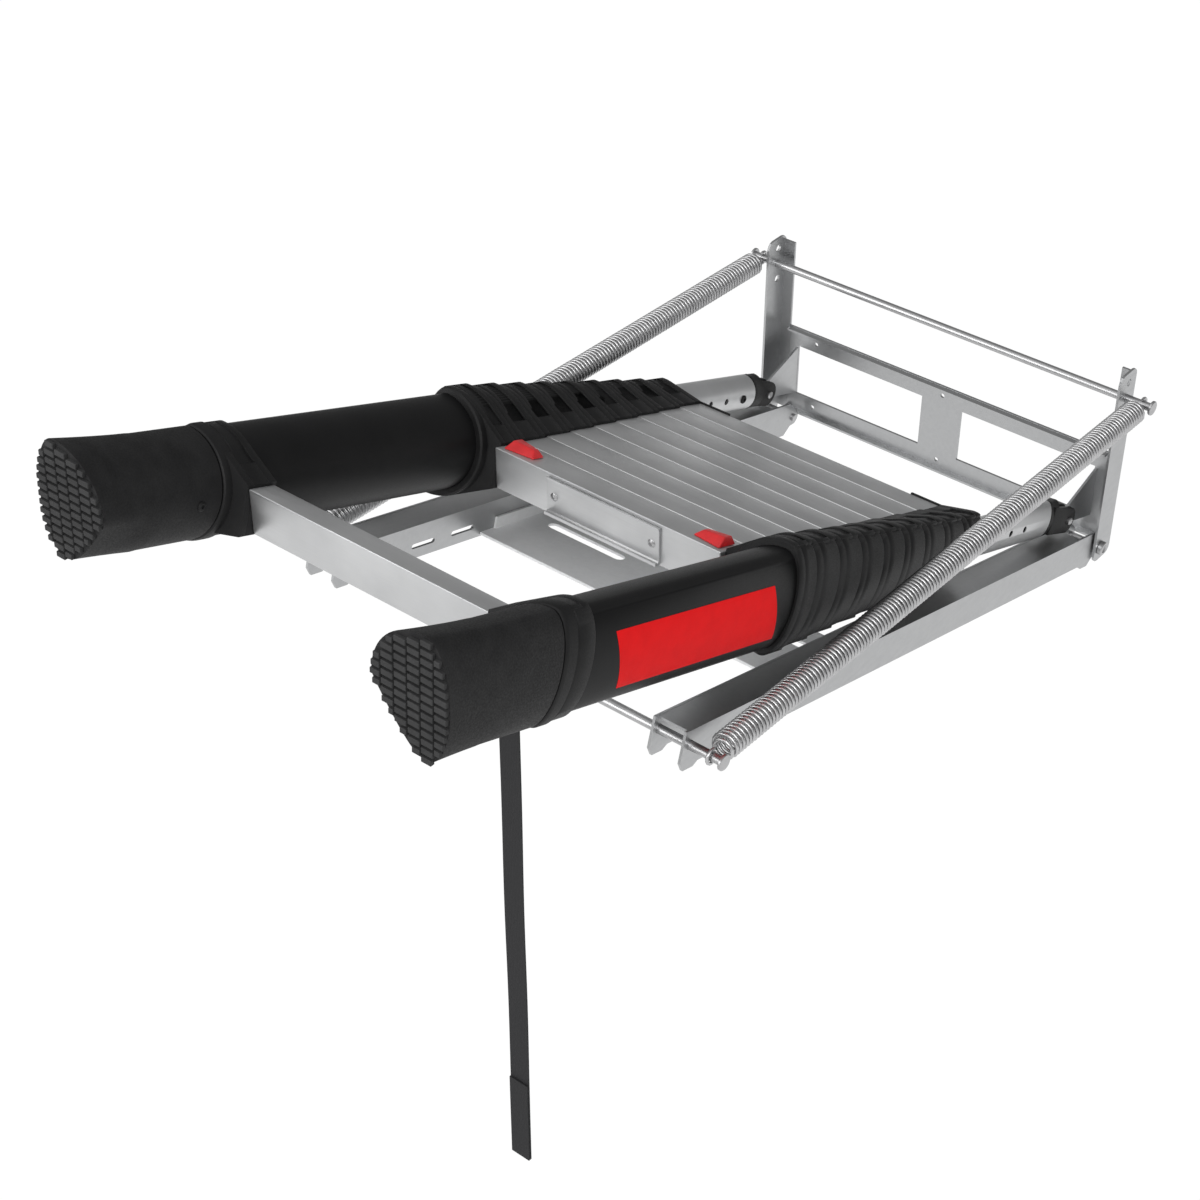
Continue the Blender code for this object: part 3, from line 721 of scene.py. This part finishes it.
def treadBar(number):
    low, high = rungBox(f"rung_{number}")
    piece = leanMesh(bar(low, high, rungSettings["edge"]), high.z)
    finishPiece(piece, f"rung{number}", f"section_{max(1, number - 1)}", "satin_aluminium", ladderFrame,
                replaced=[f"rung_{number}"])


def rungTail(side):
    # Black strip behind each end of the last rung
    made = rungSettings
    high = rungBox("rung_10")[1]
    back = high.y + made["tailGap"]
    ends = sorted((sides[side] * (high.x - made["tail"]), sides[side] * (high.x + made["tailReach"])))
    piece = bar((ends[0], back, high.z - made["tailDrop"]),
                (ends[1], back + made["tailThick"], high.z + made["tailRise"]), made["tailEdge"])
    finishPiece(piece, f"rungTail{side.title()}", "section_9", "black_collar", ladderFrame)


for number in range(1, 11):
    treadBar(number)
for side in sides:
    rungTail(side)
print("rungs made")


# Collars with their bridges to the rungs, and the tubes that slide in them
collarSettings = {
    "growth": 0.0065, "wall": 0.0018, "length": 0.0397, "boreClear": 0.0004, "tubeInset": 0.002,
    # A broad low band, then a raised double ridge at the foot side
    # Each step is a distance or a share of the length, and the depth under the crest
    "startSteps": [(0, 0.0026), (0.0008, 0.0020)],
    "ridgeShares": [(0.42, 0.0020), (0.50, 0), (0.66, 0), (0.69, 0.0006), (0.74, 0.0006), (0.77, 0)],
    "endSteps": [(-0.0010, 0), (0, 0.0010)],
}
bridgeSettings = {
    "crest": 105, "crestSteps": 2, "arcSteps": 12, "lift": 0.0022, "skew": 0.011, "edge": 0.0003,
    "inset": 0.0006, "lip": 0.24, "panelStart": 98, "panelStep": 0.5, "panelDepth": 0.0012, "panelEnd": 0.50,
    "panelRamp": 0.03, "floorStart": 97, "floorRise": 0.0003, "floorSink": 0.0002, "floorClear": 0.0004,
}


def tangentAngle(point, radius, sign):
    far = math.hypot(*point)
    return math.degrees(math.atan2(point[1], point[0]) + sign * math.acos(min(1.0, radius / far)))


def bridgeSlope(radius, rungEnd):
    # The rung's upper end, the angle and point where the bridge leaves the collar, its slope and its normal
    top = (stileX - rungEnd, rungTop + bridgeSettings["lift"])
    leave = tangentAngle(top, radius, 1)
    edge = Vector((radius * math.cos(math.radians(leave)), radius * math.sin(math.radians(leave))))
    slope = Vector(top) - edge
    return top, leave, edge, slope, Vector((-slope.y, slope.x)).normalized()


def besideStile(side, outline):
    # Points counted inwards from the stile's axis
    return [(sides[side] * (stileX - (q if q > 0 else q * outerShare)), z) for q, z in outline]


def bridgeOutline(side, radius, rungEnd, sunk, lowRadius):
    # Over the collar's crest, down its slope to the rung's end, and back underneath
    made = bridgeSettings
    top, leave, edge, slope, square = bridgeSlope(radius, rungEnd)
    under = (stileX - rungEnd, rungBottom)
    depth = made["panelDepth"] if sunk else 0.0
    outline = arcPoints((0, 0), radius, made["crest"], made["panelStart"], made["crestSteps"])
    sunkStart = made["panelStart"] - made["panelStep"]
    outline += arcPoints((0, 0), radius - depth, sunkStart, leave, made["arcSteps"])
    if sunk:
        outline.append(tuple(edge + slope * made["panelEnd"] - square * depth))
        outline.append(tuple(edge + slope * (made["panelEnd"] + made["panelRamp"])))
    outline += [top, under]
    meet = tangentAngle(under, lowRadius, -1)
    outline += arcPoints((0, 0), lowRadius, meet, -made["crest"], made["arcSteps"])
    return besideStile(side, outline)


def skewBridge(piece, rungEnd, skew):
    # From the crest on, the bridge runs towards the wall, to meet its leaning rung
    for corner in piece.data.vertices:
        beyond = max(0.0, stileX - abs(corner.co.x))
        corner.co.y += skew * beyond / (stileX - rungEnd)
    return piece


def bridge(side, radius, start, end, rungEnd, skew=bridgeSettings["skew"], lowRadius=None):
    lip = (end - start) * bridgeSettings["lip"]
    cuts = (start, start + lip, end - lip, end)
    parts = []
    for low, high, sunk in zip(cuts, cuts[1:], (False, True, False)):
        outline = bridgeOutline(side, radius, rungEnd, sunk, lowRadius or radius)
        strip = flatShape([outline], high - low, bridgeSettings["edge"])
        applyPlace(strip, Matrix.Translation((0, -(low + high) / 2, 0)) @ sectionPlane)
        parts.append(skewBridge(strip, rungEnd, skew))
    return parts


def recessShadePanel(side, radius, start, end, number):
    # Painted shade: a darker black sheet on the floor of the recess along the bridge
    made = bridgeSettings
    lip = (end - start) * made["lip"]
    leave, edge, slope, square = bridgeSlope(radius, rungEnds[number])[1:]
    outline = []
    for depth in (made["panelDepth"] - made["floorRise"], made["panelDepth"] + made["floorSink"]):
        line = arcPoints((0, 0), radius - depth, made["floorStart"], leave, made["arcSteps"])
        line.append(tuple(edge + slope * made["panelEnd"] - square * depth))
        outline += line if not outline else line[::-1]
    panel = flatShape([besideStile(side, outline)], end - start - 2 * lip - made["floorClear"], 0.0)
    applyPlace(panel, Matrix.Translation((0, -(start + end) / 2, 0)) @ sectionPlane)
    skewBridge(panel, rungEnds[number], made["skew"])
    finishPiece(panel, f"collarShadePanel{number}{side.title()}", f"section_{number}", "black_collar", ladderFrame,
                finish="sunk_black")


def stepsFrom(origin, radius, steps):
    return [(origin + out, radius - depth) for out, depth in steps]


def collarSize(node, side):
    # Nearest and furthest from the hinge, and the radius of the crest
    low, high = localBox(node, ladderFrame)
    crest = high.x if sides[side] > 0 else low.x
    return -high.y, -low.y, abs(crest - sides[side] * stileX) / outerShare


def bridgedCollar(ring, name, node, side, radius, start, end, number):
    start += bridgeSettings["inset"]
    end -= bridgeSettings["inset"]
    applyPlace(ring, stileShift[side])
    collar = joinPieces([ring] + bridge(side, radius, start, end, rungEnds[number]))
    finishPiece(collar, name, f"section_{number}", "black_collar", ladderFrame, replaced=[node])
    # Adds the painted shade sheet in the bridge's recess
    recessShadePanel(side, radius, start, end, number)


def slidingSection(number, side):
    made = collarSettings
    node = f"stile_{number}_{side}"
    start, end, radius = collarSize(node, side)
    tubeRadius = radius - made["growth"]
    collarEnd = start + made["length"]
    bore = tubeRadius - made["boreClear"]
    steps = [(start, bore)] + stepsFrom(start, radius, made["startSteps"])
    steps += [(start + share * (collarEnd - start), radius - depth) for share, depth in made["ridgeShares"]]
    steps += stepsFrom(collarEnd, radius, made["endSteps"]) + [(collarEnd, bore), (start, bore)]
    ring = turned(steps, ringSides=56, hollow=True, flat=sides[side])
    bridgedCollar(ring, f"collar{number}{side.title()}", node, side, radius, start, collarEnd, number)
    tube = turned(tubeSteps(start + made["tubeInset"], end, tubeRadius, made["wall"]), ringSides=48,
                  hollow=True, flat=sides[side])
    finishPiece(tube, f"tube{number}{side.title()}", f"section_{number}", "satin_aluminium",
                stilePlace[side], finish="drawn_aluminium")


for number in range(2, 10):
    for side in sides:
        slidingSection(number, side)
print("sliding sections made")


# Bottom section: tubes, collars, feet, label, buttons and hook bracket
bottomSettings = {
    "wall": 0.0018, "clear": 0.0003,
    # (distance from one end, depth under the crest)
    "upperStart": [(0, 0.0026), (0.0008, 0.0020), (0.010, 0.0020), (0.012, 0), (0.018, 0), (0.019, 0.0009),
                   (0.0205, 0.0009), (0.0215, 0)],
    "upperEnd": [(-0.0016, 0), (0, 0.0016)],
    "ringLength": 0.036, "ringGrowth": 0.0042,
    "lowerStart": [(0, 0.0022), (0.0012, 0.0014), (0.019, 0.0014), (0.020, 0.0026), (0.0215, 0.0026),
                   (0.0225, 0)],
    "lowerEnd": [(-0.004, 0), (-0.001, 0.0009), (0, 0.0022)],
    "webInset": (0.0006, 0.0030), "webSunk": 0.0013, "webUnder": 0.006, "webBack": 0.033,
}


def bottomTube(side):
    start, end = ladderSpan(f"bottom_tube_{side}")
    tube = turned(tubeSteps(start, end, bottomRadius, bottomSettings["wall"]), ringSides=72, hollow=True,
                  flat=sides[side])
    finishPiece(tube, f"bottomTube{side.title()}", "section_1", "black_tube", stilePlace[side],
                replaced=[f"bottom_tube_{side}"])


def upperCollar(side):
    made = bottomSettings
    node = f"upper_collar_{side}"
    start, end, radius = collarSize(node, side)
    bore = bottomRadius - made["wall"]
    sleeve = bottomRadius + made["clear"]
    seat = ladderSpan(f"bottom_tube_{side}")[0] - made["clear"]
    steps = [(start, bore)] + stepsFrom(start, radius, made["upperStart"])
    steps += stepsFrom(end, radius, made["upperEnd"])
    steps += [(end, sleeve), (seat, sleeve), (seat, bore), (start, bore)]
    ring = turned(steps, ringSides=64, hollow=True, flat=sides[side])
    bridgedCollar(ring, f"upperCollar{side.title()}", node, side, radius, start, end, 1)


def lowerCollar(side):
    made = bottomSettings
    node = f"lower_collar_{side}"
    start, end = ladderSpan(node)
    ringStart = end - made["ringLength"]
    radius = bottomRadius + made["ringGrowth"]
    sleeve = bottomRadius + made["clear"]
    steps = [(ringStart, sleeve)] + stepsFrom(ringStart, radius, made["lowerStart"])
    steps += stepsFrom(end, radius, made["lowerEnd"]) + [(end, sleeve), (ringStart, sleeve)]
    ring = applyPlace(turned(steps, ringSides=64, hollow=True, flat=sides[side]), stileShift[side])
    webStart, webEnd = ringStart + made["webInset"][0], end - made["webInset"][1]
    skew = webEnd - (start + made["webBack"])
    web = bridge(side, radius - made["webSunk"], webStart, webEnd, rungEnds[1], skew,
                 bottomRadius - made["webUnder"])
    finishPiece(joinPieces([ring] + web), f"lowerCollar{side.title()}", "section_1", "black_collar",
                ladderFrame, replaced=[node])


labelSettings = {"span": (0.579, 0.799), "arc": (-37, 33), "points": 20, "thick": 0.0005, "gap": 0.0001,
                 "lean": 0.018}


def redLabel():
    made = labelSettings
    start, end = made["span"]
    first, last = made["arc"]
    outline = arcPoints((0, 0), bottomRadius + made["thick"], first, last, made["points"])
    outline += arcPoints((0, 0), bottomRadius + made["gap"], last, first, made["points"])
    patch = flattenOuter(flatShape([outline], end - start, 0.0), 1)
    for corner in patch.data.vertices:
        corner.co.z += made["lean"] * corner.co.y / bottomRadius
    place = ladderFrame @ Matrix.Translation((stileX, -(start + end) / 2, 0)) @ sectionPlane
    finishPiece(patch, "redLabel", "section_1", "red_plastic", place, finish="label_vinyl")


footSettings = {
    "sleeve": 0.0027, "clear": 0.0003, "sleeveRound": (0.001, 0.0008), "flare": 0.941, "flareRun": 0.006,
    "flareStep": 0.0004, "flareSteps": 8, "flarePower": 1.4, "radius": 0.0525, "keel": 0.66, "tip": 1.0018,
    "trim": 0.03, "slope": 18, "screwOut": 0.022, "screwSunk": 0.0004,
    "screwSteps": [(0, 0.0042), (0.0010, 0.0042), (0.0020, 0.0030), (0.0020, 0.0016), (0.0010, 0.0014)],
}
treadSettings = {
    "columns": 7, "firstColumn": 1.25, "columnPitch": 0.0122, "groove": 0.0011, "rowPitch": 0.0076,
    "rowGroove": 0.0027, "rowShift": 0.5, "rowReach": 1.1, "blockHigh": 0.0030, "blockSunk": 0.0012,
    "blockEdge": 0.0005, "border": 0.0030, "leastShare": 0.3,
}
soleSlope = math.radians(footSettings["slope"])
solePlace = (0, -footSettings["tip"] + treadSettings["blockHigh"], 0)


def keelShare(z, share):
    # The lower inner side narrows towards the sole, like a keel
    return 1.0 - footSettings["keel"] * share * max(0.0, -z / footSettings["radius"])


def footShell(side):
    made = footSettings
    sign = sides[side]
    start = ladderSpan(f"foot_{side}")[0]
    sleeve = bottomRadius + made["sleeve"]
    far = made["tip"] + made["trim"]  # cut off at the sole
    roundOut, roundIn = made["sleeveRound"]
    steps = [(start, bottomRadius + made["clear"]), (start, sleeve - roundIn), (start + roundOut, sleeve),
             (made["flare"] - made["flareRun"], sleeve), (made["flare"], sleeve + made["flareStep"])]
    for i in range(1, made["flareSteps"] + 1):
        share = i / made["flareSteps"]
        steps.append((made["flare"] + (far - made["flare"]) * share,
                      sleeve + made["flareStep"] + (made["radius"] - sleeve) * share ** made["flarePower"]))
    foot = turned(steps, ringSides=72, flat=sign)
    for corner in foot.data.vertices:
        share = min(1.0, max(0.0, (-corner.co.y - made["flare"]) / (made["tip"] - made["flare"])))
        if corner.co.x * sign < 0:
            corner.co.x *= keelShare(corner.co.z, share)
    pick(foot)
    setMode("EDIT")
    bpy.ops.mesh.select_all(action="SELECT")
    bpy.ops.mesh.bisect(plane_co=solePlace, plane_no=(0, -math.cos(soleSlope), -math.sin(soleSlope)),
                        use_fill=True, clear_outer=True)
    tidyMesh()
    setMode("OBJECT")
    finishPiece(foot, f"foot{side.title()}", "section_1", "foot_rubber", stilePlace[side],
                replaced=[f"foot_{side}"])


def footTread(side):
    # Brick-like blocks on the slanted sole
    made = treadSettings
    sign = sides[side]
    wide = made["columnPitch"] - made["groove"]
    tall = made["rowPitch"] - made["rowGroove"]
    block = bar((-wide / 2, -made["blockHigh"], -tall / 2), (wide / 2, made["blockSunk"], tall / 2),
                made["blockEdge"], segments=1)
    sole = Matrix.Translation(solePlace) @ Matrix.Rotation(soleSlope, 4, "X")
    limit = footSettings["radius"] - made["border"]
    rows = int(footSettings["radius"] * made["rowReach"] / made["rowPitch"])
    parts = []
    for column in range(made["columns"]):
        across = -sign * (column - made["firstColumn"]) * made["columnPitch"]  # counted from the outer edge
        for row in range(-rows, rows + 1):
            rise = (row + made["rowShift"] * (column % 2)) * made["rowPitch"]
            height = rise * math.cos(soleSlope)
            if abs(height) > limit:
                continue
            half = math.sqrt(limit ** 2 - height ** 2)
            ends = sorted((sign * half * outerShare, -sign * half * keelShare(height, 1.0)))
            left, right = max(across - wide / 2, ends[0]), min(across + wide / 2, ends[1])
            if right - left < wide * made["leastShare"]:
                continue
            copy = block.copy()
            copy.data = block.data.copy()
            scene.collection.objects.link(copy)
            copy.data.transform(sole @ Matrix.Translation(((left + right) / 2, 0, rise))
                                @ Matrix.Diagonal(((right - left) / wide, 1, 1, 1)))
            parts.append(copy)
    bpy.data.objects.remove(block, do_unlink=True)
    finishPiece(joinPieces(parts), f"footTread{side.title()}", "section_1", "foot_rubber",
                stilePlace[side], smooth=20, finish="tread_rubber")


def footScrew(side):
    made = footSettings
    start = ladderSpan(f"foot_{side}")[0]
    screw = turned(made["screwSteps"], ringSides=20)
    radius = bottomRadius + made["sleeve"] - made["screwSunk"]
    spot = Matrix.Translation((sides[side] * stileX - sides[side] * radius, -start - made["screwOut"], 0))
    finishPiece(screw, f"footScrew{side.title()}", "section_1", "bright_rod",
                ladderFrame @ spot @ inwardTurn[side], finish="black_collar")


buttonSettings = {"topFacing": 0.9, "topSize": (0.72, 0.42, 1), "topShift": (0.006, 0.004),
                  "innerFacing": 0.6, "innerSize": (1, 0.62, 0.8), "edge": 0.0013}


def releaseButton(side):
    # A block that narrows upwards and towards the ladder's middle
    made = buttonSettings
    sign = sides[side]
    node = f"release_button_{side}"
    low, high = localBox(node, ladderFrame)
    middle = (low + high) / 2
    piece = plainBox(low, high)
    setMode("EDIT")
    bpy.ops.mesh.select_mode(type="FACE")
    selectFaces(piece, lambda face: face.normal.z > made["topFacing"])
    shiftX, shiftY = made["topShift"]
    bpy.ops.transform.resize(value=made["topSize"],
                             center_override=(middle.x + sign * shiftX, middle.y + shiftY, high.z))
    selectFaces(piece, lambda face: face.normal.x * sign < -made["innerFacing"])
    inner = min(low.x, high.x, key=abs)
    bpy.ops.transform.resize(value=made["innerSize"], center_override=(inner, middle.y, low.z))
    bpy.ops.mesh.select_all(action="SELECT")
    bpy.ops.mesh.bevel(offset=made["edge"], segments=3, affect="EDGES")
    tidyMesh()
    setMode("OBJECT")
    finishPiece(piece, f"releaseButton{side.title()}", f"button_{side}", "red_plastic", ladderFrame,
                replaced=[node])


bracketSettings = {
    "sheet": 0.0024, "lip": 0.0078, "gap": 0.0003, "edge": 0.0003, "topFlare": (0.0012, 0.003),
    "topRound": (0.0008, 0.002), "outerBend": 0.002, "innerBend": 0.0015, "rivetX": 0.054, "rivetUp": -0.005,
    "rivetSteps": [(0, 0.0040), (0.0005, 0.0040), (0.0014, 0.0031), (0.0018, 0.0016), (0.0008, 0.0013)],
}


def hookBracket():
    made = bracketSettings
    low, high = localBox("hook_bracket", ladderFrame)
    high.y = rungLow.y - made["gap"]
    low.y = high.y - made["lip"]
    face = high.y - made["sheet"]
    floor = low.z + made["sheet"]
    flareOut, flareDown = made["topFlare"]
    roundOut, roundDown = made["topRound"]
    outer, inner = made["outerBend"], made["innerBend"]
    outline = [(face, high.z - flareDown), (face - flareOut, high.z), (high.y - roundOut, high.z),
               (high.y, high.z - roundDown), (high.y, low.z + outer), (high.y - outer, low.z), (low.y, low.z),
               (low.y, floor), (face - inner, floor), (face, floor + inner)]
    plate = applyPlace(flatShape([outline], high.x - low.x, made["edge"]), profilePlane)
    finishPiece(leanMesh(plate, rungTop), "hookBracket", "section_1", "satin_aluminium", ladderFrame,
                replaced=["hook_bracket"])
    for side in sides:
        rivet = turned(made["rivetSteps"], ringSides=24)
        out = face - rungLean * (made["rivetUp"] - rungTop)
        spot = Matrix.Translation((sides[side] * made["rivetX"], out, made["rivetUp"]))
        finishPiece(rivet, f"bracketRivet{side.title()}", "section_1", "bright_rod",
                    ladderFrame @ spot @ Matrix.Rotation(ladderTilt, 4, "X"))


for side in sides:
    bottomTube(side)
    upperCollar(side)
    lowerCollar(side)
    footShell(side)
    footTread(side)
    footScrew(side)
    releaseButton(side)
redLabel()
hookBracket()
print("bottom section made")


# Pressed sheet pieces keep their solids and take the zinc finish; the cross plate's copy is whitened and made
# non-metallic as painted light on its upper face
for name, node in frame["nodes"].items():
    if node.hide_render:
        continue
    slot = next(part["material_slot"] for part in frame["record"]["subparts"] if part["node"] == name)
    node.data.materials.clear()
    # The cross plate takes the whitened zinc copy, painted light standing in for light on its upper face
    node.data.materials.append(finishes["pale_zinc" if name == "cross_plate" else slot])
print("sheet pieces finished")


# Floor, soft studio light and white surroundings
studio = {"floor": -2.78, "floorSize": 40, "floorTone": (0.92, 0.92, 0.92), "white": 1.04, "showShadow": 0.05,
          "skySpan": (-0.4, 0.5), "skyFront": 0.70, "skyBack": 0.30, "lampTarget": (0, -0.5, 0.05)}


def whiteRays(tree):
    # 1 where the camera, a mirror-like surface or glass looks at the floor
    rays = tree.nodes.new("ShaderNodeLightPath")
    first = mathNode(tree, "MAXIMUM")
    second = mathNode(tree, "MAXIMUM")
    link(rays.outputs["Is Camera Ray"], first.inputs[0])
    link(rays.outputs["Is Glossy Ray"], first.inputs[1])
    link(first.outputs["Value"], second.inputs[0])
    link(rays.outputs["Is Transmission Ray"], second.inputs[1])
    return second.outputs["Value"]


def makeFloor():
    deselectAll()
    bpy.ops.mesh.primitive_plane_add(size=studio["floorSize"], location=(0, 0, studio["floor"]))
    floor = bpy.context.object
    floor.name = "floor"
    made = bpy.data.materials.new("paleFloor")
    made.use_nodes = True
    tree = made.node_tree
    tree.nodes.remove(tree.nodes["Principled BSDF"])
    matt = tree.nodes.new("ShaderNodeBsdfDiffuse")
    matt.inputs["Color"].default_value = (*studio["floorTone"], 1)
    glow = tree.nodes.new("ShaderNodeEmission")
    glow.inputs["Strength"].default_value = studio["white"]
    mix = tree.nodes.new("ShaderNodeMixShader")
    share = mathNode(tree, "MULTIPLY")
    share.inputs[1].default_value = 1 - studio["showShadow"]
    seen = whiteRays(tree)
    link(seen, share.inputs[0])
    link(share.outputs["Value"], mix.inputs["Fac"])
    link(matt.outputs["BSDF"], mix.inputs[1])
    link(glow.outputs["Emission"], mix.inputs[2])
    link(mix.outputs["Shader"], tree.nodes["Material Output"].inputs["Surface"])
    floor.data.materials.append(made)


def makeWorld():
    world = bpy.data.worlds.new("studio")
    world.use_nodes = True
    scene.world = world
    tree = world.node_tree
    back = tree.nodes["Background"]
    back.inputs["Color"].default_value = (1, 1, 1, 1)
    # Brighter in front of the part than behind it, and white to the camera
    rays = tree.nodes.new("ShaderNodeLightPath")
    coords = tree.nodes.new("ShaderNodeTexCoord")
    split = tree.nodes.new("ShaderNodeSeparateXYZ")
    level = tree.nodes.new("ShaderNodeMapRange")
    level.inputs["From Min"].default_value = studio["skySpan"][0]
    level.inputs["From Max"].default_value = studio["skySpan"][1]
    level.inputs["To Min"].default_value = studio["skyFront"]
    level.inputs["To Max"].default_value = studio["skyBack"]
    seen = mathNode(tree, "MAXIMUM")
    link(coords.outputs["Generated"], split.inputs["Vector"])
    link(split.outputs["Y"], level.inputs["Value"])
    link(level.outputs["Result"], seen.inputs[0])
    link(rays.outputs["Is Camera Ray"], seen.inputs[1])
    link(seen.outputs["Value"], back.inputs["Strength"])


lamps = {
    "key": {"place": (-1.6, -3.0, 1.5), "size": 2.2, "power": 48},
    "fill": {"place": (1.8, -3.0, 2.3), "size": 1.8, "power": 58},
    "top": {"place": (0.2, -1.2, 3.2), "size": 2.6, "power": 12},
}


def makeLamps():
    target = Vector(studio["lampTarget"])
    for name, lamp in lamps.items():
        deselectAll()
        bpy.ops.object.light_add(type="AREA", location=lamp["place"])
        light = bpy.context.object
        light.name = name
        light.data.size = lamp["size"]
        light.data.energy = lamp["power"]
        light.rotation_euler = (target - Vector(lamp["place"])).to_track_quat("-Z", "Y").to_euler()


makeFloor()
makeWorld()
makeLamps()
print("studio set")
